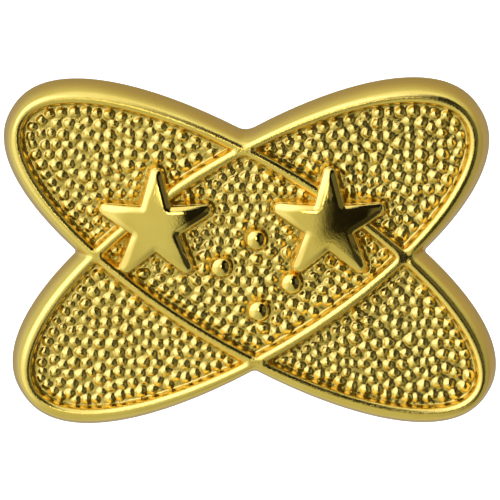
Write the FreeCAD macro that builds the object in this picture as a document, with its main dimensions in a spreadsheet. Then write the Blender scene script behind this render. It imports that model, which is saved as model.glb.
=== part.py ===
import FreeCAD, Part
import Sketcher
import math
import os

# A small badge of two crossed ovals, with two stars and four pips on its front, two nail posts on its back
# and a butterfly clutch on each post. Millimetres. The badge faces -Y, +X is to the viewer's right, +Z is up.
# The origin is the middle of the back lip, the flat border that lies against the garment, at y = 0.

SIZES = [
    # The two ovals: rounder-ended than ellipses, so they are superellipses with this exponent.
    ("oval_exponent", 2.22),
    ("falling_half_length", 17.94),
    ("falling_half_width", 6.67),
    ("falling_tilt", 31.3),
    ("rising_half_length", 17.5),
    ("rising_half_width", 6.86),
    ("rising_tilt", 32.6),
    # Each oval's crest line is a true ellipse, so the rim is widest halfway along each side.
    ("falling_crest_half_length", 17.2),
    ("falling_crest_half_width", 5.9),
    ("rising_crest_half_length", 16.65),
    ("rising_crest_half_width", 6.2),
    # The plate's section, from the back lip forward. The shoulder is measured in from the oval's outline,
    # and the crest's flat top and its foot from the crest line.
    ("plate_thickness", 2.2),
    ("ground_thickness", 1.45),
    ("shoulder_height", 1.8),
    ("shoulder_inset", 0.42),
    ("crest_half_width", 0.13),
    ("foot_distance", 0.49),
    ("lip_width", 1.2),
    ("recess_depth", 0.35),
    # Stars and pips, each set in a shallow seat in the ground. The star radii are before its points are rounded.
    ("seat_depth", 0.15),
    ("left_star_across", 6.03),
    ("left_star_up", 1.95),
    ("left_star_tip_radius", 5.0),
    ("left_star_valley_radius", 1.66),
    ("right_star_across", 5.12),
    ("right_star_up", 2.08),
    ("right_star_tip_radius", 4.96),
    ("right_star_valley_radius", 1.66),
    ("star_height", 1.2),
    ("star_draft", 5),
    ("star_tip_rounding", 0.42),
    ("pip_radius", 0.72),
    ("seat_clearance", 0.02),
    # Posts: a flat head soldered in the recess, a shaft with two grip grooves and a blunt point.
    ("post_across", 7.6),
    ("post_up", 4.4),
    ("post_radius", 0.55),
    ("post_length", 8.0),
    ("post_point_length", 0.9),
    ("post_point_radius", 0.12),
    ("head_radius", 1.5),
    ("head_thickness", 0.3),
    ("groove_radius", 0.38),
    ("groove_width", 0.6),
    ("low_groove_start", 3.3),
    ("high_groove_start", 6.3),
    ("solder_width", 0.4),
    # Clutch: a base plate with a turned-up edge, a domed cap, a wire ring and two squeeze wings.
    ("base_gap", 3.2),
    ("base_thickness", 0.3),
    ("base_radius", 5.0),
    ("base_hole_radius", 0.62),
    ("base_bend", 0.5),
    ("base_edge_height", 1.1),
    ("cap_radius", 3.0),
    ("cap_wall", 0.3),
    ("cap_flange_width", 0.55),
    ("cap_flange_thickness", 0.25),
    ("cap_wall_height", 4.4),
    ("cap_crown_radius", 1.7),
    ("cap_crown_rise", 0.9),
    ("cap_top_rise", 1.2),
    ("slot_width", 3.0),
    ("slot_start", 1.2),
    ("slot_end", 4.25),
    ("slot_inner", 1.6),
    ("pivot_out", 2.2),
    ("pivot_rise", 2.1),
    ("pivot_pin_radius", 0.25),
    ("pivot_hole_radius", 0.28),
    ("pivot_pin_length", 4.0),
    ("wing_width", 2.8),
    ("wing_thickness", 0.35),
    ("jaw_gap", 0.05),
    ("jaw_rise", 0.9),
    ("jaw_out", 1.7),
    ("jaw_notch_radius", 0.57),
    ("finger_out", 4.6),
    ("finger_rise", 5.5),
    ("finger_end_out", 5.7),
    ("finger_end_rise", 5.85),
    ("spring_wire_radius", 0.2),
    ("spring_half_width", 2.2),
    ("spring_half_length", 2.505),
    ("spring_rise", 3.1),
    ("spring_opening", 50),
]

OVAL_POINTS = 32
STAR_POINTS = 5
POINTS_FORWARD = FreeCAD.Rotation(FreeCAD.Vector(1, 0, 0), 90)
TURNED_ROUND = FreeCAD.Rotation(FreeCAD.Vector(0, 1, 0), 180)

doc = FreeCAD.newDocument("crossed_oval_badge")
sheet = doc.addObject("Spreadsheet::Sheet", "Sizes")
for row, (alias, number) in enumerate(SIZES, start=1):
    sheet.set("A%d" % row, alias.replace("_", " "))
    sheet.set("B%d" % row, str(number))
    sheet.setAlias("B%d" % row, alias)
doc.recompute()


def size(alias):
    """The sheet's value for an alias."""
    return float(sheet.get(alias))


def bind(thing, **expressions):
    """Bind properties to expressions in the sheet's aliases. Two underscores stand for a dot."""
    for name, expression in expressions.items():
        thing.setExpression(name.replace("__", "."), expression)


def put(thing, across=None, forward=None, up=None):
    """Bind a piece's place: across is X, forward is -Y and up is Z."""
    if across:
        thing.setExpression("Placement.Base.x", across)
    if forward:
        thing.setExpression("Placement.Base.y", "-(%s)" % forward)
    if up:
        thing.setExpression("Placement.Base.z", up)


# ---------------------------------------------------------------- sketches and bodies

def new_body(name):
    body = doc.addObject("PartDesign::Body", name)
    body.Label = name
    return body


def new_sketch(body, name, role):
    """A sketch on one of the body's own origin planes."""
    sketch = body.newObject("Sketcher::SketchObject", name)
    plane = [item for item in body.Origin.OriginFeatures if item.Role == role][0]
    sketch.AttachmentSupport = [(plane, "")]
    sketch.MapMode = "FlatFace"
    return sketch


def fix_point(sketch, geometry, end, across, up):
    """Hold one sketch point at two expressions. None puts it on that axis of the sketch."""
    if across is None:
        sketch.addConstraint(Sketcher.Constraint("PointOnObject", geometry, end, -2))
    else:
        index = sketch.addConstraint(Sketcher.Constraint("DistanceX", -1, 1, geometry, end, 1.0))
        sketch.setExpression("Constraints[%d]" % index, across)
    if up is None:
        sketch.addConstraint(Sketcher.Constraint("PointOnObject", geometry, end, -1))
    else:
        index = sketch.addConstraint(Sketcher.Constraint("DistanceY", -1, 1, geometry, end, 1.0))
        sketch.setExpression("Constraints[%d]" % index, up)


def draw_corners(sketch, corners, closed=True):
    """Straight lines through corners, each held at its own pair of expressions."""
    count = len(corners)
    start = [FreeCAD.Vector(1 + math.cos(k), 1 + math.sin(k), 0)
             for k in (math.tau * j / count for j in range(count))]
    lines = count if closed else count - 1
    for j in range(lines):
        sketch.addGeometry(Part.LineSegment(start[j], start[(j + 1) % count]), False)
    for j in range(lines - 1):
        sketch.addConstraint(Sketcher.Constraint("Coincident", j, 2, j + 1, 1))
    if closed:
        sketch.addConstraint(Sketcher.Constraint("Coincident", lines - 1, 2, 0, 1))
    for j, (across, up) in enumerate(corners):
        if j < lines:
            fix_point(sketch, j, 1, across, up)
        else:
            fix_point(sketch, lines - 1, 2, across, up)


def revolved_body(name, corners):
    """A body turned about its own Y axis from corners given as (radius, height) expressions."""
    body = new_body(name)
    sketch = new_sketch(body, name + "_profile", "XY_Plane")
    draw_corners(sketch, corners)
    turn = body.newObject("PartDesign::Revolution", name + "_turn")
    turn.Profile = sketch
    turn.ReferenceAxis = (sketch, ["V_Axis"])
    turn.Angle = 360
    body.Tip = turn
    return body


# ---------------------------------------------------------------- badge plate

def oval_wire(name, oval, inset, forward, crest=False):
    """An oval's outline or its crest line, drawn in by inset all round, through points on the curve."""
    line = oval + "_crest" if crest else oval
    long_half = size(line + "_half_length") - inset
    wide_half = size(line + "_half_width") - inset
    power = 1 if crest else 2 / size("oval_exponent")
    points = []
    for j in range(OVAL_POINTS):
        angle = math.tau * (j + 0.5) / OVAL_POINTS
        cosine = math.cos(angle)
        sine = math.sin(angle)
        across = math.copysign(long_half * abs(cosine) ** power, cosine)
        up = math.copysign(wide_half * abs(sine) ** power, sine)
        points.append(FreeCAD.Vector(across, 0, up))
    curve = Part.BSplineCurve()
    curve.interpolate(Points=points, PeriodicFlag=True)
    wire = doc.addObject("Part::Feature", name)
    wire.Shape = Part.Wire([curve.toShape()])
    tilt = size(oval + "_tilt")
    if oval == "rising":
        tilt = -tilt
    turn = FreeCAD.Rotation(FreeCAD.Vector(0, 1, 0), tilt)
    wire.Placement = FreeCAD.Placement(FreeCAD.Vector(0, -forward, 0), turn)
    return wire


def lofted(name, wires):
    loft = doc.addObject("Part::Loft", name)
    loft.Sections = wires
    loft.Solid = True
    loft.Ruled = True
    return loft


def oval_dish(oval):
    """One oval with its raised rim: a solid with sloping sides, less the pocket inside the rim."""
    thickness = size("plate_thickness")
    outside = lofted(oval + "_outside", [
        oval_wire(oval + "_back_outline", oval, 0, 0),
        oval_wire(oval + "_shoulder_outline", oval, size("shoulder_inset"), size("shoulder_height")),
        oval_wire(oval + "_crest_outside", oval, -size("crest_half_width"), thickness, crest=True)])
    pocket = lofted(oval + "_pocket", [
        oval_wire(oval + "_foot_outline", oval, size("foot_distance"), size("ground_thickness"), crest=True),
        oval_wire(oval + "_crest_inside", oval, size("crest_half_width"), thickness, crest=True)])
    dish = doc.addObject("Part::Cut", oval + "_dish")
    dish.Base = outside
    dish.Tool = pocket
    return dish


def oval_recess(oval):
    """The hollow behind one oval, inside the flat lip."""
    outline = oval_wire(oval + "_recess_outline", oval, size("lip_width"), 0)
    recess = doc.addObject("Part::Extrusion", oval + "_recess")
    recess.Base = outline
    recess.DirMode = "Custom"
    recess.Dir = FreeCAD.Vector(0, -1, 0)
    recess.Solid = True
    bind(recess, LengthFwd="Sizes.recess_depth")
    return recess


def draw_star(sketch, tip_radius, valley_radius):
    """A five-pointed star with one point up: ten equal lines between two construction circles."""
    circles = []
    for alias in (tip_radius, valley_radius):
        circle = Part.Circle(FreeCAD.Vector(0, 0, 0), FreeCAD.Vector(0, 0, 1), size(alias))
        circles.append(sketch.addGeometry(circle, True))
        sketch.addConstraint(Sketcher.Constraint("Coincident", circles[-1], 3, -1, 1))
        index = sketch.addConstraint(Sketcher.Constraint("Radius", circles[-1], size(alias)))
        sketch.setExpression("Constraints[%d]" % index, "Sizes." + alias)
    corners = []
    for j in range(2 * STAR_POINTS):
        radius = size(valley_radius if j % 2 else tip_radius)
        angle = math.pi * j / STAR_POINTS
        corners.append(FreeCAD.Vector(radius * math.sin(angle), radius * math.cos(angle), 0))
    lines = []
    for j, corner in enumerate(corners):
        onward = corners[(j + 1) % len(corners)]
        lines.append(sketch.addGeometry(Part.LineSegment(corner, onward), False))
    for j, line in enumerate(lines):
        onward = lines[(j + 1) % len(lines)]
        sketch.addConstraint(Sketcher.Constraint("Coincident", line, 2, onward, 1))
        sketch.addConstraint(Sketcher.Constraint("PointOnObject", line, 1, circles[j % 2]))
        if j:
            sketch.addConstraint(Sketcher.Constraint("Equal", lines[0], line))
    sketch.addConstraint(Sketcher.Constraint("PointOnObject", lines[0], 1, -2))


def star_body(name, side, draft):
    """A star standing forward from its seat floor. With no draft it is the tool that cuts the seat."""
    body = new_body(name)
    sketch = new_sketch(body, name + "_outline", "XZ_Plane")
    draw_star(sketch, side + "_star_tip_radius", side + "_star_valley_radius")
    pad = body.newObject("PartDesign::Pad", name + "_pad")
    pad.Profile = sketch
    bind(pad, Length="Sizes.star_height + Sizes.seat_depth")
    if draft:
        bind(pad, TaperAngle="-Sizes.star_draft")
    sign = "-" if side == "left" else ""
    put(body, sign + "Sizes.%s_star_across" % side, "Sizes.ground_thickness - Sizes.seat_depth",
        "Sizes.%s_star_up" % side)
    body.Tip = pad
    doc.recompute()
    round_points(body)
    return body


def round_points(body):
    """Round the five points of a star, along the edges that rise at each point."""
    points = []
    for number, edge in enumerate(body.Shape.Edges, start=1):
        ends = [vertex.Point for vertex in edge.Vertexes]
        rises = abs(ends[0].y - ends[-1].y) > size("star_height") / 2
        middle = edge.CenterOfMass - body.Placement.Base
        reach = math.hypot(middle.x, middle.z)
        if rises and reach > size("left_star_tip_radius") / 2:
            points.append("Edge%d" % number)
    fillet = body.newObject("PartDesign::Fillet", body.Name + "_rounding")
    fillet.Base = (fillet.BaseFeature, points)
    bind(fillet, Radius="Sizes.star_tip_rounding")
    body.Tip = fillet
    doc.recompute()


# Each pip's place as (across, up) from the origin, in millimetres.
PIPS = {
    "pip_top": (0.4, 1.03),
    "pip_left": (-1.86, -0.78),
    "pip_right": (2.67, -1.8),
    "pip_bottom": (0.56, -3.63),
}


def pip(name, across, up):
    """A plain shank in the seat, with half a ball on it."""
    shank = doc.addObject("Part::Cylinder", name + "_shank")
    bind(shank, Radius="Sizes.pip_radius", Height="Sizes.seat_depth")
    dome = doc.addObject("Part::Sphere", name + "_dome")
    bind(dome, Radius="Sizes.pip_radius")
    dome.Angle1 = 0
    for piece, forward in ((shank, "Sizes.ground_thickness - Sizes.seat_depth"), (dome, "Sizes.ground_thickness")):
        piece.Placement = FreeCAD.Placement(FreeCAD.Vector(across, 0, up), POINTS_FORWARD)
        put(piece, forward=forward)
    whole = doc.addObject("Part::Fuse", name)
    whole.Base = shank
    whole.Tool = dome
    whole.Refine = True
    return whole


def pip_seat(name, across, up):
    seat = doc.addObject("Part::Cylinder", name + "_seat")
    seat.Placement = FreeCAD.Placement(FreeCAD.Vector(across, 0, up), POINTS_FORWARD)
    bind(seat, Radius="Sizes.pip_radius + Sizes.seat_clearance", Height="Sizes.plate_thickness")
    put(seat, forward="Sizes.ground_thickness - Sizes.seat_depth")
    return seat


def badge_plate():
    dishes = doc.addObject("Part::MultiFuse", "both_dishes")
    dishes.Shapes = [oval_dish("falling"), oval_dish("rising")]
    hollows = doc.addObject("Part::MultiFuse", "hollows")
    hollows.Shapes = ([oval_recess("falling"), oval_recess("rising")]
                      + [star_body(side + "_star_seat", side, False) for side in ("left", "right")]
                      + [pip_seat(name, *place) for name, place in PIPS.items()])
    plate = doc.addObject("Part::Cut", "badge_plate")
    plate.Base = dishes
    plate.Tool = hollows
    plate.Refine = True
    return plate


# ---------------------------------------------------------------- posts

def post(side):
    """Heights run from the recess floor, where the head is soldered."""
    lip = "Sizes.recess_depth + "
    shaft_end = lip + "Sizes.post_length - Sizes.post_point_length"
    corners = [(None, None), ("Sizes.head_radius", None), ("Sizes.head_radius", "Sizes.head_thickness"),
               ("Sizes.post_radius", "Sizes.head_thickness")]
    for groove in ("Sizes.low_groove_start", "Sizes.high_groove_start"):
        corners += [("Sizes.post_radius", lip + groove),
                    ("Sizes.groove_radius", lip + groove),
                    ("Sizes.groove_radius", lip + groove + " + Sizes.groove_width"),
                    ("Sizes.post_radius", lip + groove + " + Sizes.groove_width")]
    corners += [("Sizes.post_radius", shaft_end),
                ("Sizes.post_point_radius", lip + "Sizes.post_length"),
                (None, lip + "Sizes.post_length")]
    body = revolved_body(side + "_post", corners)
    put(body, post_sign(side) + "Sizes.post_across", "Sizes.recess_depth", "Sizes.post_up")
    return body


def solder(side):
    """A ring with a sloping face, between the post's head and the recess floor."""
    body = revolved_body(side + "_solder", [
        ("Sizes.head_radius", None),
        ("Sizes.head_radius + Sizes.solder_width", None),
        ("Sizes.head_radius", "Sizes.head_thickness")])
    put(body, post_sign(side) + "Sizes.post_across", "Sizes.recess_depth", "Sizes.post_up")
    return body


def post_sign(side):
    return "-" if side == "left" else ""


# ---------------------------------------------------------------- clutches
# Every clutch piece is drawn with y = 0 at the base plate's face towards the garment.

def put_on_post(piece, side):
    put(piece, post_sign(side) + "Sizes.post_across", "-Sizes.base_gap", "Sizes.post_up")


def clutch_base(side):
    bend = "Sizes.base_radius - Sizes.base_bend"
    inner = "Sizes.base_radius - Sizes.base_thickness"
    body = revolved_body(side + "_clutch_base", [
        ("Sizes.base_hole_radius", None),
        (bend, None),
        ("Sizes.base_radius", "Sizes.base_bend"),
        ("Sizes.base_radius", "Sizes.base_edge_height"),
        (inner, "Sizes.base_edge_height"),
        (inner, "Sizes.base_bend + Sizes.base_thickness / 2"),
        (bend + " - Sizes.base_thickness / 2", "Sizes.base_thickness"),
        ("Sizes.base_hole_radius", "Sizes.base_thickness")])
    put_on_post(body, side)
    return body


def clutch_cap(side):
    """A turned cap with a flange, cut by a slot on each side and by the pivot holes."""
    foot = "Sizes.base_thickness"
    wall_top = foot + " + Sizes.cap_wall_height"
    inner = "Sizes.cap_radius - Sizes.cap_wall"
    shell = revolved_body(side + "_cap_shell", [
        (inner, foot),
        ("Sizes.cap_radius + Sizes.cap_flange_width", foot),
        ("Sizes.cap_radius + Sizes.cap_flange_width", foot + " + Sizes.cap_flange_thickness"),
        ("Sizes.cap_radius", foot + " + Sizes.cap_flange_thickness"),
        ("Sizes.cap_radius", wall_top),
        ("Sizes.cap_crown_radius", wall_top + " + Sizes.cap_crown_rise"),
        (None, wall_top + " + Sizes.cap_top_rise"),
        (None, wall_top + " + Sizes.cap_top_rise - Sizes.cap_wall"),
        ("Sizes.cap_crown_radius - Sizes.cap_wall / 3", wall_top + " + Sizes.cap_crown_rise - Sizes.cap_wall"),
        (inner, wall_top)])
    put_on_post(shell, side)
    slots = []
    for place in ("outer", "inner"):
        slot = doc.addObject("Part::Box", side + "_cap_slot_" + place)
        bind(slot, Length="Sizes.cap_radius", Width="Sizes.slot_end - Sizes.slot_start", Height="Sizes.slot_width")
        reach = "+ Sizes.slot_inner" if towards(side, place) > 0 else "- Sizes.slot_inner - Sizes.cap_radius"
        slot.setExpression("Placement.Base.x", "%sSizes.post_across %s" % (post_sign(side), reach))
        slot.setExpression("Placement.Base.y", "Sizes.base_gap + Sizes.slot_start")
        slot.setExpression("Placement.Base.z", "Sizes.post_up - Sizes.slot_width / 2")
        slots.append(slot)
        hole = doc.addObject("Part::Cylinder", side + "_cap_pivot_hole_" + place)
        bind(hole, Radius="Sizes.pivot_hole_radius", Height="2 * Sizes.cap_radius")
        pivot = "+ Sizes.pivot_out" if towards(side, place) > 0 else "- Sizes.pivot_out"
        hole.setExpression("Placement.Base.x", "%sSizes.post_across %s" % (post_sign(side), pivot))
        hole.setExpression("Placement.Base.y", "Sizes.base_gap + Sizes.pivot_rise")
        hole.setExpression("Placement.Base.z", "Sizes.post_up - Sizes.cap_radius")
        slots.append(hole)
    tools = doc.addObject("Part::MultiFuse", side + "_cap_cuts")
    tools.Shapes = slots
    cap = doc.addObject("Part::Cut", side + "_clutch_cap")
    cap.Base = shell
    cap.Tool = tools
    return cap


def towards(side, place):
    """+1 where a clutch's outer or inner side is its +X side, else -1."""
    outward = -1 if side == "left" else 1
    return outward if place == "outer" else -outward


def clutch_wing(side, place):
    """A bent strip from the jaw at the post, through the pivot, out to the finger end."""
    name = "%s_clutch_%s_wing" % (side, place)
    body = new_body(name)
    path = new_sketch(body, name + "_path", "XY_Plane")
    draw_corners(path, [
        ("Sizes.jaw_gap", "Sizes.jaw_rise"),
        ("Sizes.jaw_out", "Sizes.jaw_rise"),
        ("Sizes.pivot_out", "Sizes.pivot_rise"),
        ("Sizes.finger_out", "Sizes.finger_rise"),
        ("Sizes.finger_end_out", "Sizes.finger_end_rise")], closed=False)
    section = new_sketch(body, name + "_section", "YZ_Plane")
    section.setExpression("AttachmentOffset.Base.z", "Sizes.jaw_gap")
    draw_rectangle(section, "Sizes.jaw_rise", "Sizes.wing_thickness", "Sizes.wing_width")
    doc.recompute()
    strip = body.newObject("PartDesign::AdditivePipe", name + "_strip")
    strip.Profile = section
    strip.Spine = (path, ["Edge%d" % number for number in range(1, 5)])
    strip.Transition = 1
    body.Tip = strip
    doc.recompute()
    notch = new_sketch(body, name + "_notch", "XZ_Plane")
    draw_circle(notch, None, None, "Sizes.jaw_notch_radius")
    cut = body.newObject("PartDesign::Pocket", name + "_notch_cut")
    cut.Profile = notch
    cut.Reversed = False
    bind(cut, Length="4 * Sizes.pivot_rise")
    cut.Midplane = True
    body.Tip = cut
    doc.recompute()
    pin_end = new_sketch(body, name + "_pin_end", "XY_Plane")
    draw_circle(pin_end, "Sizes.pivot_out", "Sizes.pivot_rise", "Sizes.pivot_pin_radius")
    pin = body.newObject("PartDesign::Pad", name + "_pin")
    pin.Profile = pin_end
    bind(pin, Length="Sizes.pivot_pin_length")
    pin.Midplane = True
    body.Tip = pin
    if towards(side, place) < 0:
        body.Placement = FreeCAD.Placement(FreeCAD.Vector(0, 0, 0), TURNED_ROUND)
    put_on_post(body, side)
    return body


def draw_rectangle(sketch, middle, thick, wide):
    """A rectangle centred on the sketch's own X axis, its middle at an expression."""
    low = "%s - %s / 2" % (middle, thick)
    high = "%s + %s / 2" % (middle, thick)
    start = [(0, -1), (1, -1), (1, 1), (0, 1)]
    for j in range(4):
        ends = [FreeCAD.Vector(a, b, 0) for a, b in (start[j], start[(j + 1) % 4])]
        sketch.addGeometry(Part.LineSegment(*ends), False)
    for j in range(4):
        sketch.addConstraint(Sketcher.Constraint("Coincident", j, 2, (j + 1) % 4, 1))
    sketch.addConstraint(Sketcher.Constraint("Horizontal", 0))
    sketch.addConstraint(Sketcher.Constraint("Horizontal", 2))
    sketch.addConstraint(Sketcher.Constraint("Symmetric", 1, 1, 1, 2, -1))
    sketch.addConstraint(Sketcher.Constraint("Vertical", 3))
    for geometry, end, expression in ((0, 1, low), (0, 2, high)):
        index = sketch.addConstraint(Sketcher.Constraint("DistanceX", -1, 1, geometry, end, 1.0))
        sketch.setExpression("Constraints[%d]" % index, expression)
    index = sketch.addConstraint(Sketcher.Constraint("DistanceY", 1, 1, 1, 2, 2.0))
    sketch.setExpression("Constraints[%d]" % index, wide)


def draw_circle(sketch, across, up, radius):
    circle = Part.Circle(FreeCAD.Vector(0, 0, 0), FreeCAD.Vector(0, 0, 1), 1)
    geometry = sketch.addGeometry(circle, False)
    if across is None:
        sketch.addConstraint(Sketcher.Constraint("Coincident", geometry, 3, -1, 1))
    else:
        fix_point(sketch, geometry, 3, across, up)
    index = sketch.addConstraint(Sketcher.Constraint("Radius", geometry, 1))
    sketch.setExpression("Constraints[%d]" % index, radius)


def clutch_spring(side):
    """An open oval ring of wire that lies round the post inside the cap."""
    name = side + "_clutch_spring"
    middle = doc.addObject("Part::Ellipse", name + "_line")
    bind(middle, MajorRadius="Sizes.spring_half_length", MinorRadius="Sizes.spring_half_width",
         Angle1="Sizes.spring_opening / 2", Angle2="360 - Sizes.spring_opening / 2")
    middle.Placement = FreeCAD.Placement(FreeCAD.Vector(0, 0, 0), FreeCAD.Rotation(
        FreeCAD.Vector(0, 0, 1), FreeCAD.Vector(1, 0, 0), FreeCAD.Vector(0, 1, 0), "ZXY"))
    doc.recompute()
    start = middle.Shape.Edges[0]
    along = start.tangentAt(start.FirstParameter)
    wire = doc.addObject("Part::Circle", name + "_wire")
    bind(wire, Radius="Sizes.spring_wire_radius")
    wire.Placement = FreeCAD.Placement(start.valueAt(start.FirstParameter),
                                       FreeCAD.Rotation(FreeCAD.Vector(0, 0, 1), along))
    sweep = doc.addObject("Part::Sweep", name)
    sweep.Sections = [wire]
    sweep.Spine = (middle, ["Edge1"])
    sweep.Solid = True
    sweep.Frenet = True
    put(sweep, post_sign(side) + "Sizes.post_across", "-(Sizes.base_gap + Sizes.spring_rise)", "Sizes.post_up")
    return sweep


# ---------------------------------------------------------------- build, check, write

def all_parts():
    parts = [badge_plate()]
    parts += [star_body(side + "_star", side, True) for side in ("left", "right")]
    parts += [pip(name, *place) for name, place in PIPS.items()]
    for side in ("left", "right"):
        parts += [post(side), solder(side), clutch_base(side), clutch_cap(side), clutch_spring(side)]
        parts += [clutch_wing(side, place) for place in ("outer", "inner")]
    return parts


def check_document(parts):
    for thing in doc.Objects:
        if "Invalid" in thing.State or "Error" in thing.State:
            raise RuntimeError("%s: %s" % (thing.Name, thing.State))
    for part in parts:
        if part.Shape.isNull() or not part.Shape.isValid() or not part.Shape.Solids:
            raise RuntimeError("%s has no valid solid" % part.Label)


parts = all_parts()
doc.recompute()
check_document(parts)
os.makedirs("parts", exist_ok=True)
for part in parts:
    box = part.Shape.BoundBox
    print("%-26s %2d solid(s) %9.3f mm3  x %.2f..%.2f  y %.2f..%.2f  z %.2f..%.2f" % (
        part.Label, len(part.Shape.Solids), part.Shape.Volume,
        box.XMin, box.XMax, box.YMin, box.YMax, box.ZMin, box.ZMax))
    part.Shape.exportStep("parts/%s.step" % part.Label)
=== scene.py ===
import math

import bmesh
import bpy
import numpy as np
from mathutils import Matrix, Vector, kdtree
from mathutils.geometry import delaunay_2d_cdt


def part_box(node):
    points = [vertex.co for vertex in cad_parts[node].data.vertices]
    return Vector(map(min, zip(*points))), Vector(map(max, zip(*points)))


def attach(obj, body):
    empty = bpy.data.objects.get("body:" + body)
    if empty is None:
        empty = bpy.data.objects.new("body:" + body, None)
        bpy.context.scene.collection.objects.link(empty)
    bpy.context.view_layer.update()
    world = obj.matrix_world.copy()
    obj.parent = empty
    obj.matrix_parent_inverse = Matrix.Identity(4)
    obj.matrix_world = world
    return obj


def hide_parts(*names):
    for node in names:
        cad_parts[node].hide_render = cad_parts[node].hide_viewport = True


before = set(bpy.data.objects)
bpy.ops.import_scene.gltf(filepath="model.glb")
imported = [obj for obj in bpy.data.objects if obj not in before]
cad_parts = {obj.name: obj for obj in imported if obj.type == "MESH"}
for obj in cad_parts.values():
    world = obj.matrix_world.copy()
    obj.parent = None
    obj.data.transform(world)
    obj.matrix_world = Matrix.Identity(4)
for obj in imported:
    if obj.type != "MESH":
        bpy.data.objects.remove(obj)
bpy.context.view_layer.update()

# Sizes are in millimetres until a mesh is made, and the front of the badge faces -Y.
# "Height" on the badge means distance forward of the back lip, so y = -height.
MM = 0.001
PLATE_LOW, PLATE_HIGH = [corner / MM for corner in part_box("badge_plate")]
CREST = -PLATE_LOW.y
GROUND = CREST - 0.75

# Each oval's half length, half width, tilt in degrees and exponent, for its outline and for its crest line.
OUTLINES = [(17.94, 6.67, -31.3, 2.22), (17.5, 6.86, 32.6, 2.22)]
CREST_LINES = [(17.2, 5.9, -31.3, 2), (16.65, 6.2, 32.6, 2)]
RIB_HALF_WIDTH = 0.52
RECESS_INSET = 1.2
RECESS_DEPTH = 0.35
# How far the notches between the ovals are rounded, and how much more the top one is.
NOTCH_ROUNDING = 0.2
TOP_NOTCH_ROUNDING = 0.4
# Where the crest lines meet on the right. The top of that crossing is a little low and tilted.
RIGHT_CROSSING = (9.92, -0.03)
CROSSING_RADIUS = 0.42
CROSSING_DROP = 0.05

# A rib's section: how far from its crest line, and how far down from the crest. Nearly a round bar.
RIB_SECTION = [(0, 0), (0.05, 0.003), (0.1, 0.013), (0.15, 0.032), (0.2, 0.06), (0.25, 0.1),
               (0.3, 0.16), (0.34, 0.225), (0.37, 0.3), (0.4, 0.41), (0.43, 0.56), (0.46, 0.67),
               (0.5, 0.735), (0.54, 0.75), (1, 0.75)]
# The outer slope, from the outline to the crest line: how far along the way, and the height there.
SLOPE_SECTION = [(0, 0), (0.1, 0.5), (0.22, 1.0), (0.35, 1.42), (0.48, 1.76), (0.62, 2.0),
                 (0.76, 2.125), (0.88, 2.183), (1, CREST)]

# A star's section: how far in from its outline, and the height above the ground.
STAR_SECTION = [(0, -0.1), (0.008, 0.8), (0.02, 1.0), (0.045, 1.045), (0.09, 1.08), (0.15, 1.112),
                (0.22, 1.142), (0.29, 1.166), (0.36, 1.184), (0.44, 1.196), (0.52, 1.2), (1.8, 1.2)]
STAR_RADII = {"left_star": (5.0, 1.66), "right_star": (4.96, 1.66)}       # sharp tip, valley
STAR_TIP_ROUNDING = 0.42
# The steep foot that the ground makes round a star, and the ground beyond it that is free of pebbles.
STAR_FOOT = 0.2
STAR_FOOT_RISE = 0.6
STAR_MOAT = 0.26
# How fast a star's face falls from its highest place, how much its points droop, and where that place is.
STAR_DOMING = 0.02
STAR_DROOP = 0.05
STAR_DOME_SHIFT = {"left_star": 0.25, "right_star": -0.4}

PIP_RADIUS = 0.72
PIP_FOOT = 0.08
PIP_FOOT_RISE = 0.27
PIP_DOME_RISE = 0.42
PIP_MOAT = 0.18
# Stars and pips go this far below the ground.
ROOT = 0.1

PEBBLE_PITCH = 0.78
# Painted shade fades out this far above the ground, and at this height on the outer slope.
PAINTED_SHADE_RISE = 0.16
PAINTED_SHADE_SLOPE = 1.5

# How closely the plate's points are spaced: on the pebbled ground, and along the ribs and slopes.
FIELD_SPACING = 0.085
RING_SPACING = 0.13
# Where lines of points run: beside each crest line, in from the joint outline, and in from a star's outline,
# outside it and inside it.
RIB_LEVELS = [-0.54, -0.49, -0.45, -0.41, -0.37, -0.31, -0.22, -0.13, -0.06, -0.03, 0]
RIB_LEVELS += [-level for level in RIB_LEVELS[:-1]]
SLOPE_LEVELS = [0.03, 0.08, 0.14, 0.21, 0.28, 0.36, 0.44, 0.52, 0.6, 0.68]
FOOT_LEVELS = [0.04, -0.01, -0.05, -0.1, -0.15, -0.2, -0.25, -0.3]
STAR_LEVELS = [0.015, 0.035, 0.06, 0.09, 0.13, 0.18, 0.24, 0.3, 0.37, 0.44]

GOLD = (0.88, 0.61, 0.13)
GOLD_DEEP = (0.80, 0.53, 0.10)
# Painted shade: a browner gold and a duller polish, laid on the low ground between the pebbles and low on the
# outer slope.
PAINTED_SHADE_COLOUR = (0.6, 0.4, 0.08, 1)
PAINTED_SHADE_ROUGHNESS = 0.22
# The cards in the studio stand this far from the origin, in metres.
CARD_DISTANCE = 0.095


# ---------------------------------------------------------------- curves and distances

def smooth_curve(points):
    """A function through the points with no overshoot: a monotone cubic."""
    x = np.array([p[0] for p in points], float)
    y = np.array([p[1] for p in points], float)
    step = np.diff(x)
    slope = np.diff(y) / step
    tangent = np.zeros(len(x))
    same_way = slope[:-1] * slope[1:] > 0
    pair = np.where(same_way, slope[:-1] + slope[1:], 1)
    tangent[1:-1] = np.where(same_way, 2 * slope[:-1] * slope[1:] / pair, 0)
    tangent[0], tangent[-1] = slope[0], slope[-1]

    def value(at):
        at = np.clip(at, x[0], x[-1])
        k = np.clip(np.searchsorted(x, at) - 1, 0, len(step) - 1)
        t = (at - x[k]) / step[k]
        return ((1 + 2 * t) * (1 - t) ** 2 * y[k] + t * (1 - t) ** 2 * step[k] * tangent[k]
                + t * t * (3 - 2 * t) * y[k + 1] + t * t * (t - 1) * step[k] * tangent[k + 1])
    return value


def smooth_max(a, b, blend):
    """The larger of two values, rounded where they are within blend of each other."""
    near = np.clip(1 - np.abs(a - b) / blend, 0, 1)
    return np.maximum(a, b) + near ** 2 * blend / 4


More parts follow.
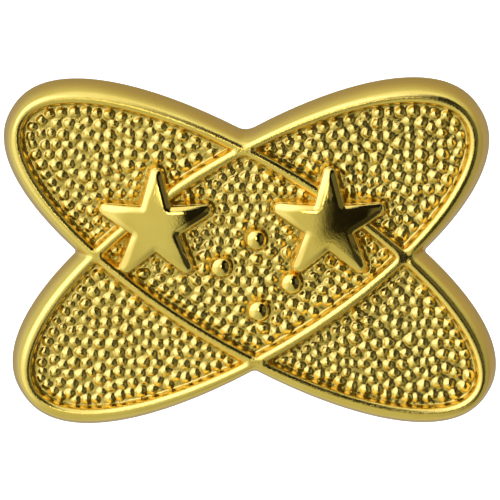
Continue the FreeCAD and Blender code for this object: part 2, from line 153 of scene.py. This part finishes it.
def resample(points, spacing):
    """Points an even distance apart along a closed line."""
    closed = np.vstack([points, points[:1]])
    along = np.concatenate([[0], np.cumsum(np.linalg.norm(np.diff(closed, axis=0), axis=1))])
    count = max(8, round(along[-1] / spacing))
    at = np.linspace(0, along[-1], count, endpoint=False)
    return np.column_stack([np.interp(at, along, closed[:, axis]) for axis in (0, 1)])


def point_tree(points):
    """A search tree over points in the badge's plane."""
    tree = kdtree.KDTree(len(points))
    for k, (x, z) in enumerate(points):
        tree.insert((x, z, 0), k)
    tree.balance()
    return tree


class Outline:
    """A closed line in the badge's plane, with distances measured in from it."""

    def __init__(self, points):
        self.points = resample(points, 0.03)
        onward = np.roll(self.points, -1, axis=0) - np.roll(self.points, 1, axis=0)
        self.along = onward / np.linalg.norm(onward, axis=1)[:, None]
        turn = np.column_stack([-self.along[:, 1], self.along[:, 0]])
        self.inward = turn if signed_area(self.points) > 0 else -turn
        self.tree = point_tree(self.points)

    def depth(self, places):
        """Distance in from the line, negative outside it."""
        nearest = np.array([self.tree.find((x, z, 0))[1] for x, z in places])
        away = places - self.points[nearest]
        side = np.einsum("ij,ij->i", away, self.inward[nearest])
        slip = np.einsum("ij,ij->i", away, self.along[nearest])
        reach = np.sqrt(np.maximum((away ** 2).sum(1) - np.minimum(slip ** 2, 0.02 ** 2), 0))
        return np.where(side >= 0, reach, -reach)

    def inset(self, distance, spacing):
        """Points an even distance apart along a line this far in."""
        return resample(self.points + self.inward * distance, spacing)


def signed_area(points):
    """A closed line's area, positive if it runs anticlockwise."""
    x, z = points.T
    return 0.5 * np.sum(x * np.roll(z, -1) - z * np.roll(x, -1))


def oval_outline(half_length, half_width, tilt, exponent):
    """An oval round the origin, an ellipse if the exponent is 2 and fuller above it."""
    angle = np.linspace(0, math.tau, 2400, endpoint=False)
    ray = (np.abs(np.cos(angle) / half_length) ** exponent
           + np.abs(np.sin(angle) / half_width) ** exponent) ** (-1 / exponent)
    turn = math.radians(tilt)
    return Outline(np.column_stack([ray * np.cos(angle + turn), ray * np.sin(angle + turn)]))


def star_outline(tip_radius, valley_radius, centre):
    """A five-pointed star, one point up, each point rounded by an arc."""
    half_angle = math.atan2(valley_radius * math.sin(math.pi / 5),
                            tip_radius - valley_radius * math.cos(math.pi / 5))
    arc_centre = tip_radius - STAR_TIP_ROUNDING / math.sin(half_angle)
    points = []
    for k in range(5):
        up = math.pi / 2 + math.tau * k / 5
        swing = math.pi / 2 - half_angle
        for turn in np.linspace(-swing, swing, 9):
            points.append((arc_centre * math.cos(up) + STAR_TIP_ROUNDING * math.cos(up + turn),
                           arc_centre * math.sin(up) + STAR_TIP_ROUNDING * math.sin(up + turn)))
        valley = up + math.pi / 5
        points.append((valley_radius * math.cos(valley), valley_radius * math.sin(valley)))
    return Outline(np.array(points) + centre)


# ---------------------------------------------------------------- meshes

def lattice(low, high, spacing):
    """A triangular lattice of points over a box."""
    row_gap = spacing * math.sqrt(3) / 2
    rows = np.arange(low[1], high[1], row_gap)
    columns = np.arange(low[0], high[0], spacing)
    x, z = np.meshgrid(columns, rows)
    x = x + (np.arange(len(rows)) % 2)[:, None] * spacing / 2
    return np.column_stack([x.ravel(), z.ravel()])


def thin_out(points, gap):
    """Drop points that share a cell of the given size with an earlier one."""
    cells = np.floor(points / gap).astype(int)
    _, first = np.unique(cells, axis=0, return_index=True)
    return points[np.sort(first)]


def triangulate(outline, inside):
    """Triangles over an outline and the points inside it. The outline's points come first."""
    every = [Vector(p) for p in np.vstack([outline, inside]).tolist()]
    loop = [(k, (k + 1) % len(outline)) for k in range(len(outline))]
    points, _, faces, _, _, _ = delaunay_2d_cdt(every, loop, [], 1, 1e-6)
    return np.array([tuple(p) for p in points]), np.array([f for f in faces if len(f) == 3])


def add_mesh(name, vertices, faces):
    mesh = bpy.data.meshes.new(name)
    mesh.from_pydata(vertices, [], faces)
    mesh.update()
    made = bpy.data.objects.new(name, mesh)
    bpy.context.scene.collection.objects.link(made)
    return made


def closed_relief(name, outline, front_points, front, back_points, back):
    """A closed mesh between two height functions that agree along the outline."""
    front_flat, front_faces = triangulate(outline, front_points)
    back_flat, back_faces = triangulate(outline, back_points)
    edge = len(outline)
    front_y = -front(front_flat)
    back_y = -back(back_flat)
    front_y[:edge] = back_y[:edge]
    flat = np.vstack([front_flat, back_flat[edge:]])
    y = np.concatenate([front_y, back_y[edge:]])
    shifted = np.where(back_faces >= edge, back_faces + len(front_flat) - edge, back_faces)
    faces = np.vstack([front_faces, shifted[:, ::-1]])
    vertices = np.column_stack([flat[:, 0], y, flat[:, 1]]) * MM
    piece = add_mesh(name, vertices.tolist(), faces.tolist())
    piece.data.polygons.foreach_set("use_smooth", [True] * len(faces))
    return piece


def sharpen(piece, degrees):
    """Keep edges that turn by more than an angle crisp under smooth shading."""
    work = bmesh.new()
    work.from_mesh(piece.data)
    for edge in work.edges:
        if len(edge.link_faces) == 2 and edge.calc_face_angle(0) > math.radians(degrees):
            edge.smooth = False
    work.to_mesh(piece.data)
    work.free()


# ---------------------------------------------------------------- the badge plate

falling, rising = [oval_outline(*sizes) for sizes in OUTLINES]
falling_crest, rising_crest = [oval_outline(*sizes) for sizes in CREST_LINES]
rib_drop = smooth_curve(RIB_SECTION)
slope_height = smooth_curve(SLOPE_SECTION)


def joint_depth(places):
    """Distance in from the two outlines together, with the notches between them rounded, the top one most."""
    at_top = np.exp(-((places[:, 0] / 2) ** 2 + ((places[:, 1] - 7) / 3) ** 2))
    rounding = NOTCH_ROUNDING + TOP_NOTCH_ROUNDING * at_top
    return smooth_max(falling.depth(places), rising.depth(places), rounding)


def joint_outline(level, angles):
    """Where a ray at each angle from the middle meets a given depth in from the joint outline, by halving."""
    near = np.full(len(angles), 4.0)
    far = np.full(len(angles), 20.0)
    way = np.column_stack([np.cos(angles), np.sin(angles)])
    for _ in range(22):
        middle = (near + far) / 2
        inside = joint_depth(way * middle[:, None]) > level
        near = np.where(inside, middle, near)
        far = np.where(inside, far, middle)
    return way * near[:, None]


def plain_height(places, a, b):
    """The plate's height before the pebbles. a and b are distances in from the two crest lines."""
    rib_a = CREST - GROUND - rib_drop(np.abs(a))
    rib_b = CREST - GROUND - rib_drop(np.abs(b))
    merged = (rib_a ** 6 + rib_b ** 6) ** (1 / 6)
    inner = GROUND + merged - np.maximum(merged - (CREST - GROUND), 0)
    passed = np.maximum(joint_depth(places), 0)
    left = np.maximum(-smooth_max(a, b, 0.15), 0)
    outer = slope_height(passed / np.maximum(passed + left, 1e-6))
    height = np.where(np.maximum(a, b) > 0, inner, outer)
    across, up = (places - RIGHT_CROSSING).T
    crossing = np.clip(1.7 * np.exp(-(across ** 2 + up ** 2) / CROSSING_RADIUS ** 2), 0, 1)
    return height + (CREST - CROSSING_DROP - 0.09 * across - 0.07 * up - height) * crossing


def star_middle(name):
    """Where the CAD has a star's middle, found from its sides and its top point."""
    low, high = [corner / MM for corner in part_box(name)]
    tip_radius, valley_radius = STAR_RADII[name]
    outline = star_outline(tip_radius, valley_radius, (0, 0))
    return np.array([(low.x + high.x) / 2, high.z - outline.points[:, 1].max()])


def pip_middle(name):
    """Where the CAD has a pip's middle."""
    low, high = [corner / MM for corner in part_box(name)]
    return np.array([(low.x + high.x) / 2, (low.z + high.z) / 2])


STARS = {name: star_outline(*radii, star_middle(name)) for name, radii in STAR_RADII.items()}
PIPS = {name: pip_middle(name) for name in ("pip_top", "pip_left", "pip_right", "pip_bottom")}


def room_for_pebbles(places, a, b):
    """How far each place is from the nearest thing that keeps pebbles off: ribs, stars and pips."""
    room = np.minimum(np.abs(a), np.abs(b)) - RIB_HALF_WIDTH
    room = np.where(np.maximum(a, b) > 0, room, -1)
    for outline in STARS.values():
        near = np.linalg.norm(places - outline.points.mean(axis=0), axis=1) < 5
        room[near] = np.minimum(room[near], -outline.depth(places[near]) - STAR_MOAT)
    for middle in PIPS.values():
        room = np.minimum(room, np.linalg.norm(places - middle, axis=1) - PIP_RADIUS - PIP_MOAT)
    return room


def scatter_pebbles(places, room, draw):
    """Pebble centres spread evenly over the ground, moved apart a few times but left irregular."""
    free = places[room > 0.04]
    centres = lattice(places.min(axis=0), places.max(axis=0), PEBBLE_PITCH)
    centres = centres + draw.normal(0, 0.3 * PEBBLE_PITCH, centres.shape)
    for _ in range(5):
        tree = point_tree(centres)
        owner = np.array([tree.find((x, z, 0))[1] for x, z in free])
        count = np.bincount(owner, minlength=len(centres))
        total = np.column_stack([np.bincount(owner, free[:, axis], len(centres)) for axis in (0, 1)])
        kept = count > 0.35 * (PEBBLE_PITCH / FIELD_SPACING) ** 2
        centres = total[kept] / count[kept][:, None]
    return centres + draw.normal(0, 0.03, centres.shape)


def pebble_height(places, centres, room, draw):
    """Domes of uneven size and outline, fading out where the ground has no room for them."""
    count = len(centres)
    tree = point_tree(centres)
    to_neighbour = np.array([tree.find_n((x, z, 0), 2)[1][2] for x, z in centres])
    radius = np.clip(to_neighbour * draw.uniform(0.51, 0.61, count), 0.28, 0.45)
    rise = radius * draw.uniform(0.54, 0.67, count)
    lean = draw.uniform(0, math.tau, count)
    stretch = draw.uniform(0.86, 1.0, count)
    lobes = draw.integers(3, 6, count)
    lobe_turn = draw.uniform(0, math.tau, count)
    height = np.zeros(len(places))
    found = [tree.find_n((x, z, 0), 4) for x, z in places]
    for rank in range(4):
        k = np.array([f[rank][1] for f in found])
        away = places - centres[k]
        turn = np.arctan2(away[:, 1], away[:, 0])
        reach = np.hypot(away[:, 0], away[:, 1])
        shape = 1 + (1 / stretch[k] - 1) * np.sin(turn - lean[k]) ** 2
        shape += 0.05 * np.sin(lobes[k] * turn + lobe_turn[k])
        part = np.clip(reach * shape / radius[k], 0, 1)
        dome = rise[k] * (1 - part ** 2)
        height = smooth_max(height, dome, 0.02)
    for length in (0.3, 0.37, 0.45, 0.56, 0.7):
        way, start = draw.uniform(0, math.tau, 2)
        along = places @ [math.cos(way), math.sin(way)]
        height = height + 0.006 * np.sin(math.tau / length * along + start)
    return height * np.clip(room / 0.12 + 1, 0, 1)


def mark_painted_shade(shell):
    """Note on the mesh how low each part of the ground and of the outer slope lies, as the amount of painted
    shade there.
    """
    places = np.array([(corner.co.x, corner.co.z, -corner.co.y) for corner in shell.data.vertices]) / MM
    flat, height = places[:, :2], places[:, 2]
    # Painted shade, strongest on the lowest ground between the pebbles.
    painted_shade = np.clip((GROUND + PAINTED_SHADE_RISE - height) / PAINTED_SHADE_RISE, 0, 1) * (height > 0.01)
    near = np.flatnonzero(painted_shade > 0)
    a, b = falling_crest.depth(flat[near]), rising_crest.depth(flat[near])
    off_rib = np.clip((np.minimum(np.abs(a), np.abs(b)) - RIB_HALF_WIDTH + 0.15) / 0.15, 0, 1)
    # On the outer slope the painted shade grows darker towards the outline.
    on_slope = np.clip((PAINTED_SHADE_SLOPE - height[near]) / PAINTED_SHADE_SLOPE, 0, 1)
    painted_shade[near] = np.where(np.maximum(a, b) > 0, painted_shade[near] * off_rib, on_slope)
    shell.data.attributes.new("painted_shade", "FLOAT", "POINT").data.foreach_set("value", painted_shade)


def foot_rings():
    """Points round the foot of each star, close enough to carry the steep rise there."""
    rings = []
    for star in STARS.values():
        for level in FOOT_LEVELS:
            ring = star.inset(level, 0.08)
            rings.append(ring[np.abs(star.depth(ring) - level) < 0.01])
    return np.vstack(rings)


def plate_shell():
    """The whole plate: ribs, pebbled ground, outer slope, and the hollow back with its flat lip."""
    draw = np.random.default_rng(7)
    fine = np.linspace(0, math.tau, 1440, endpoint=False)
    outline = resample(joint_outline(0, fine), RING_SPACING)
    angles = np.arctan2(outline[:, 1], outline[:, 0])
    slopes = np.vstack([joint_outline(level, angles) for level in SLOPE_LEVELS])
    ribs = np.vstack([line.inset(level, RING_SPACING) for line in (falling_crest, rising_crest)
                      for level in RIB_LEVELS])
    outside = np.maximum(falling_crest.depth(ribs), rising_crest.depth(ribs))
    ribs = ribs[(outside > -0.3) & (joint_depth(ribs) > 0.05)]
    outside = np.maximum(falling_crest.depth(slopes), rising_crest.depth(slopes))
    slopes = slopes[outside < -0.06]
    low = np.array([PLATE_LOW.x, PLATE_LOW.z])
    high = np.array([PLATE_HIGH.x, PLATE_HIGH.z])
    field = lattice(low, high, FIELD_SPACING)
    a, b = falling_crest.depth(field), rising_crest.depth(field)
    inside = (np.maximum(a, b) > 0) & (np.minimum(np.abs(a), np.abs(b)) > RIB_HALF_WIDTH + 0.05)
    field, a, b = field[inside], a[inside], b[inside]
    centres = scatter_pebbles(field, room_for_pebbles(field, a, b), draw)
    under_star = np.zeros(len(field), bool)
    for star in STARS.values():
        near = np.linalg.norm(field - star.points.mean(axis=0), axis=1) < 5
        under_star[near] |= star.depth(field[near]) > 0.2
    thinned = field[~under_star | (np.arange(len(field)) % 9 == 0)]
    points = thin_out(np.vstack([foot_rings(), ribs, slopes, thinned]), 0.03)

    def front(places):
        a, b = falling_crest.depth(places), rising_crest.depth(places)
        height = plain_height(places, a, b)
        room = room_for_pebbles(places, a, b)
        bumps = pebble_height(places, centres, room, draw)
        for star in STARS.values():
            near = np.linalg.norm(places - star.points.mean(axis=0), axis=1) < 5
            foot = np.clip(1 + star.depth(places[near]) / STAR_FOOT, 0, 1)
            raised = np.maximum(height[near], GROUND + STAR_FOOT_RISE * foot ** 1.3)
            height[near] = np.where(foot > 0, raised, height[near])
        return np.maximum(height + np.where(room > -0.2, bumps, 0), 0)

    def back(places):
        depth = np.maximum(falling.depth(places), rising.depth(places)) - RECESS_INSET
        step = np.clip(depth / 0.14, 0, 1)
        return RECESS_DEPTH * step * step * (3 - 2 * step)

    def well_inside(places, low, high):
        depth = np.maximum(falling.depth(places), rising.depth(places))
        return places[(depth > low) & (depth < high)]

    hollow_levels = [RECESS_INSET + step for step in (-0.03, 0, 0.03, 0.07, 0.11, 0.14, 0.17)]
    hollow = np.vstack([oval.inset(level, 0.2) for oval in (falling, rising) for level in hollow_levels])
    hollow = well_inside(hollow, 0.1, RECESS_INSET + 0.2)
    lip = np.vstack([oval.inset(0.6, 0.6) for oval in (falling, rising)])
    lip = well_inside(lip, 0.1, 0.62)
    filler = well_inside(lattice(low, high, 0.8), RECESS_INSET + 0.4, 99)
    back_points = thin_out(np.vstack([hollow, lip, filler]), 0.02)
    shell = closed_relief("plate_shell", outline, points, front, back_points, back)
    # Painted shade on the low ground between the pebbles and low on the outer slope.
    mark_painted_shade(shell)
    sharpen(shell, 60)
    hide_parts("badge_plate")
    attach(shell, "badge")
    return shell


def star_shell(name):
    """A pillowed star with drafted walls, standing on the ground."""
    outline = STARS[name]
    section = smooth_curve(STAR_SECTION)
    base = GROUND - ROOT
    edge = resample(outline.points, 0.06)
    rings = [outline.inset(level, 0.07) for level in STAR_LEVELS]
    rings = np.vstack([ring[outline.depth(ring) > level - 0.01] for ring, level in zip(rings, STAR_LEVELS)])
    low, high = outline.points.min(axis=0), outline.points.max(axis=0)
    fill = lattice(low, high, 0.07)
    fill = fill[outline.depth(fill) > 0.47]
    flat = lattice(low, high, 0.8)
    flat = flat[outline.depth(flat) > 0.2]
    middle = star_middle(name)

    def front(places):
        away = np.linalg.norm(places - middle, axis=1)
        dome = np.linalg.norm(places - middle - (STAR_DOME_SHIFT[name], 0), axis=1)
        depth = np.maximum(outline.depth(places), 0)
        droop = STAR_DOMING * dome ** 2 + STAR_DROOP * np.maximum(away - 1.9, 0) ** 2
        return np.maximum(GROUND + section(depth) - droop * (depth > 0), base)

    def back(places):
        return np.full(len(places), base)

    shell = closed_relief(name + "_shell", edge, thin_out(np.vstack([rings, fill]), 0.03), front, flat, back)
    sharpen(shell, 70)
    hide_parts(name)
    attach(shell, "badge")
    return shell


def lathe(name, profile, middle, segments):
    """A closed solid turned about an axis along Y. The profile is (radius, y), from the axis back to it."""
    work = bmesh.new()
    rings = []
    for radius, y in profile:
        if radius < 1e-6:
            rings.append([work.verts.new((middle[0] * MM, y * MM, middle[1] * MM))])
            continue
        ring = []
        for k in range(segments):
            turn = math.tau * k / segments
            ring.append(work.verts.new(((middle[0] + radius * math.cos(turn)) * MM, y * MM,
                                        (middle[1] + radius * math.sin(turn)) * MM)))
        rings.append(ring)
    for one, two in zip(rings, rings[1:]):
        for k in range(segments):
            onward = (k + 1) % segments
            corners = [one[k % len(one)], one[onward % len(one)], two[onward % len(two)], two[k % len(two)]]
            work.faces.new(list(dict.fromkeys(corners)))
    bmesh.ops.recalc_face_normals(work, faces=work.faces)
    for face in work.faces:
        face.smooth = True
    piece = add_mesh(name, [], [])
    work.to_mesh(piece.data)
    work.free()
    return piece


def pip_shell(name):
    """A low dome on a steep foot."""
    base = GROUND - ROOT
    brow, shoulder = GROUND + PIP_FOOT_RISE, PIP_RADIUS - 0.03
    profile = [(0, -base), (PIP_RADIUS + PIP_FOOT, -base), (PIP_RADIUS + PIP_FOOT, -GROUND)]
    for k in range(16):
        turn = math.pi / 2 * k / 16
        profile.append((shoulder * math.cos(turn), -brow - PIP_DOME_RISE * math.sin(turn)))
    profile.append((0, -brow - PIP_DOME_RISE))
    shell = lathe(name + "_dome", profile, PIPS[name], 64)
    sharpen(shell, 60)
    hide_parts(name)
    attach(shell, "badge")
    return shell


# ---------------------------------------------------------------- materials

def new_material(name):
    """A new material, with its node tree and its shader."""
    material = bpy.data.materials.new(name)
    material.use_nodes = True
    tree = material.node_tree
    shader = tree.nodes["Principled BSDF"]
    return material, tree, shader


def node(tree, kind, **settings):
    made = tree.nodes.new(kind)
    for key, value in settings.items():
        setattr(made, key, value)
    return made


def noise(tree, scale, detail=3):
    """Noise fixed to the piece."""
    place = node(tree, "ShaderNodeTexCoord")
    made = node(tree, "ShaderNodeTexNoise")
    made.inputs["Scale"].default_value = scale
    made.inputs["Detail"].default_value = detail
    made.inputs["Roughness"].default_value = 0.55
    tree.links.new(place.outputs["Object"], made.inputs["Vector"])
    return made


def spread(tree, source, low, high):
    """Map most of a noise's values to a range."""
    made = node(tree, "ShaderNodeMapRange")
    made.inputs["From Min"].default_value = 0.3
    made.inputs["From Max"].default_value = 0.7
    made.inputs["To Min"].default_value = low
    made.inputs["To Max"].default_value = high
    tree.links.new(source, made.inputs["Value"])
    return made.outputs["Result"]


def metal(name, colour, darker, roughness, grain_scale, grain):
    """Plated metal: slow colour drift, uneven polish and a fine grain."""
    material, tree, shader = new_material(name)
    shader.inputs["Metallic"].default_value = 1
    drift = noise(tree, 250)
    mix = node(tree, "ShaderNodeMix", data_type="RGBA")
    mix.inputs["A"].default_value = (*colour, 1)
    mix.inputs["B"].default_value = (*darker, 1)
    tree.links.new(spread(tree, drift.outputs["Fac"], 0, 1), mix.inputs["Factor"])
    tree.links.new(mix.outputs["Result"], shader.inputs["Base Color"])
    polish = noise(tree, grain_scale / 6)
    tree.links.new(spread(tree, polish.outputs["Fac"], *roughness), shader.inputs["Roughness"])
    fine = noise(tree, grain_scale, 2)
    bump = node(tree, "ShaderNodeBump")
    bump.inputs["Strength"].default_value = grain
    bump.inputs["Distance"].default_value = 0.00002
    tree.links.new(fine.outputs["Fac"], bump.inputs["Height"])
    tree.links.new(bump.outputs["Normal"], shader.inputs["Normal"])
    return material


def paint_shade(material):
    """Painted shade: duller, browner metal on the low ground between the pebbles and low on the outer slope.
    """
    tree = material.node_tree
    shader = tree.nodes["Principled BSDF"]
    painted_shade = node(tree, "ShaderNodeAttribute", attribute_name="painted_shade")
    for name, value in (("Base Color", PAINTED_SHADE_COLOUR), ("Roughness", PAINTED_SHADE_ROUGHNESS)):
        socket = shader.inputs[name]
        before = socket.links[0].from_socket
        mix = node(tree, "ShaderNodeMix", data_type="RGBA" if name == "Base Color" else "FLOAT")
        tree.links.new(painted_shade.outputs["Fac"], mix.inputs["Factor"])
        tree.links.new(before, mix.inputs["A"])
        mix.inputs["B"].default_value = value
        tree.links.new(mix.outputs["Result"], socket)


def dress(piece, material):
    piece.data.materials.clear()
    piece.data.materials.append(material)


# ---------------------------------------------------------------- studio

def direction_lobe(tree, incoming, way, inner, outer):
    """1 within an angle of a direction, falling smoothly to 0 at a larger angle."""
    unit = Vector(way).normalized()
    dot = node(tree, "ShaderNodeVectorMath", operation="DOT_PRODUCT")
    dot.inputs[1].default_value = unit
    tree.links.new(incoming, dot.inputs[0])
    lobe = node(tree, "ShaderNodeMapRange", interpolation_type="SMOOTHSTEP")
    lobe.inputs["From Min"].default_value = math.cos(math.radians(outer))
    lobe.inputs["From Max"].default_value = math.cos(math.radians(inner))
    tree.links.new(dot.outputs["Value"], lobe.inputs["Value"])
    return lobe.outputs["Result"]


def combine(tree, operation, a, b, c=None):
    """One arithmetic node over values that are outputs or plain numbers."""
    made = node(tree, "ShaderNodeMath", operation=operation)
    for socket, value in zip(made.inputs, (a, b, c)):
        if isinstance(value, (int, float)):
            socket.default_value = value
        elif value is not None:
            tree.links.new(value, socket)
    return made.outputs["Value"]


def tinted(tree, factor, a, b):
    """A mix of two colours, each an output or plain numbers."""
    mix = node(tree, "ShaderNodeMix", data_type="RGBA")
    tree.links.new(factor, mix.inputs["Factor"])
    for name, value in (("A", a), ("B", b)):
        socket = next(one for one in mix.inputs if one.name == name and one.type == "RGBA")
        if isinstance(value, tuple):
            socket.default_value = value
        else:
            tree.links.new(value, socket)
    return next(one for one in mix.outputs if one.type == "RGBA")


def studio():
    """A pale tent: bright from the left and above, plain in front and below, dim behind."""
    world = bpy.data.worlds.new("tent")
    bpy.context.scene.world = world
    world.use_nodes = True
    tree = world.node_tree
    tree.nodes.clear()
    way = node(tree, "ShaderNodeTexCoord").outputs["Generated"]
    upper_left = direction_lobe(tree, way, (-0.65, -0.54, 0.53), 20, 50)
    above = direction_lobe(tree, way, (0, -0.45, 0.9), 28, 52)
    left = direction_lobe(tree, way, (-0.88, -0.46, -0.12), 24, 50)
    right = direction_lobe(tree, way, (1, -0.35, -0.3), 35, 72)
    below = direction_lobe(tree, way, (0.1, -0.3, -1), 30, 75)
    behind = direction_lobe(tree, way, (0.2, 1, 0), 38, 60)
    glow = combine(tree, "MULTIPLY", upper_left, 1.35)
    for lobe, strength in ((above, 0.45), (left, 0.5)):
        glow = combine(tree, "MAXIMUM", glow, combine(tree, "MULTIPLY", lobe, strength))
    level = combine(tree, "ADD", glow, combine(tree, "MULTIPLY_ADD", below, -0.1, 0.74))
    for lobe, change in ((behind, -0.38), (right, -0.42)):
        level = combine(tree, "MULTIPLY", level, combine(tree, "MULTIPLY_ADD", lobe, change, 1.0))
    tint = tinted(tree, behind, (1.0, 1.15, 1.08, 1), (1.05, 0.97, 0.7, 1))
    tint = tinted(tree, glow, tint, (0.9, 1.06, 1.75, 1))
    # The background itself is seen as plain white.
    seen = node(tree, "ShaderNodeLightPath").outputs["Is Camera Ray"]
    tint = tinted(tree, seen, tint, (1, 1, 1, 1))
    strength = node(tree, "ShaderNodeMix", data_type="FLOAT")
    tree.links.new(seen, strength.inputs["Factor"])
    tree.links.new(level, strength.inputs["A"])
    strength.inputs["B"].default_value = 1.0
    background = node(tree, "ShaderNodeBackground")
    tree.links.new(tint, background.inputs["Color"])
    tree.links.new(strength.outputs["Result"], background.inputs["Strength"])
    output = node(tree, "ShaderNodeOutputWorld")
    tree.links.new(background.outputs["Background"], output.inputs["Surface"])
    bpy.context.scene.view_settings.view_transform = "Standard"


def card(name, corners, strength, distance):
    """A card held in front of the badge, seen only in reflections.

    Its four corners are (degrees to the right of straight ahead, degrees up), going round.
    """
    steps = 12
    vertices = []
    for j in range(steps + 1):
        for k in range(steps + 1):
            u, v = j / steps, k / steps
            weights = ((1 - u) * (1 - v), u * (1 - v), u * v, (1 - u) * v)
            right, up = [math.radians(sum(w * c[axis] for w, c in zip(weights, corners))) for axis in (0, 1)]
            level = distance * math.cos(up)
            vertices.append((level * math.sin(right), -level * math.cos(right), distance * math.sin(up)))
    row = steps + 1
    faces = [(j * row + k, (j + 1) * row + k, (j + 1) * row + k + 1, j * row + k + 1)
             for j in range(steps) for k in range(steps)]
    made = add_mesh(name, vertices, faces)
    material = bpy.data.materials.new(name)
    material.use_nodes = True
    tree = material.node_tree
    tree.nodes.clear()
    glow = node(tree, "ShaderNodeEmission")
    glow.inputs["Color"].default_value = (0.92, 1.0, 1.0, 1)
    glow.inputs["Strength"].default_value = strength
    output = node(tree, "ShaderNodeOutputMaterial")
    tree.links.new(glow.outputs["Emission"], output.inputs["Surface"])
    made.data.materials.append(material)
    made.visible_camera = False
    made.visible_diffuse = False
    made.visible_shadow = False


def cards():
    """Dark cards at the right, one of them paler, one low down, and a small white one beside them."""
    card("dark_card_low", [(1.5, -14), (70, -4), (72, 30), (1.5, 26)], 0.012, CARD_DISTANCE)
    card("dark_card_high", [(1.5, 26), (72, 30), (72, 60), (24, 60)], 0.012, CARD_DISTANCE)
    card("dark_card_middle", [(26, -9), (62, 0), (62, 34), (28, 28)], 0.15, CARD_DISTANCE - 0.002)
    card("dark_card_under", [(32, -46), (60, -42), (64, -8), (6, -12)], 0.05, CARD_DISTANCE + 0.002)
    card("white_card", [(-3, 1), (1.2, 1), (1.2, 15), (-3, 15)], 7, CARD_DISTANCE - 0.004)


def pale_floor():
    """A wide pale floor below the badge, left out of reflections."""
    half = 3.0
    height = -0.03
    corners = [(-half, -half, height), (half, -half, height), (half, half, height), (-half, half, height)]
    floor = add_mesh("floor", corners, [(0, 1, 2, 3)])
    material, _, shader = new_material("pale_floor")
    shader.inputs["Base Color"].default_value = (0.95, 0.95, 0.95, 1)
    shader.inputs["Roughness"].default_value = 0.9
    shader.inputs["Emission Color"].default_value = (1, 1, 1, 1)
    shader.inputs["Emission Strength"].default_value = 0.6
    floor.data.materials.append(material)
    floor.visible_glossy = False


def camera():
    """A long lens a little above the badge and almost square on to it."""
    rise = math.radians(10.5)
    swing = math.radians(1)
    reach = 0.6
    aim = Vector((-0.00002, 0, 0.00005))
    away = Vector((math.sin(swing) * math.cos(rise), -math.cos(swing) * math.cos(rise), math.sin(rise)))
    data = bpy.data.cameras.new("camera")
    data.lens = 670
    data.sensor_width = 36
    data.clip_start = 0.001
    view = bpy.data.objects.new("camera", data)
    view.location = aim + away * reach
    view.rotation_euler = (-away).to_track_quat("-Z", "Y").to_euler()
    bpy.context.scene.collection.objects.link(view)
    bpy.context.scene.camera = view


# ---------------------------------------------------------------- build

plate_gold = metal("plate_gold", GOLD, GOLD_DEEP, (0.1, 0.19), 12000, 0.6)
# Paint shade on the low ground between the pebbles and low on the outer slope.
paint_shade(plate_gold)
polished_gold = metal("polished_gold", GOLD, GOLD_DEEP, (0.05, 0.1), 12000, 0.2)
steel = metal("post_steel", (0.62, 0.60, 0.55), (0.5, 0.48, 0.44), (0.18, 0.32), 6000, 0.2)
solder_grey = metal("solder_grey", (0.5, 0.5, 0.5), (0.36, 0.36, 0.37), (0.35, 0.55), 3000, 0.6)
clutch_gold = metal("clutch_gold", (0.78, 0.60, 0.2), (0.66, 0.48, 0.15), (0.16, 0.3), 6000, 0.25)
spring_dark = metal("spring_dark", (0.32, 0.32, 0.34), (0.22, 0.22, 0.24), (0.2, 0.35), 4000, 0.3)

dress(plate_shell(), plate_gold)
for name in STARS:
    dress(star_shell(name), polished_gold)
for name in PIPS:
    dress(pip_shell(name), polished_gold)
CAD_LOOKS = {"post": steel, "solder": solder_grey, "clutch_base": clutch_gold, "clutch_cap": clutch_gold,
             "clutch_spring": spring_dark, "clutch_outer_wing": clutch_gold, "clutch_inner_wing": clutch_gold}
for side in ("left", "right"):
    for part, look in CAD_LOOKS.items():
        dress(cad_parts["%s_%s" % (side, part)], look)
studio()
cards()
pale_floor()
camera()
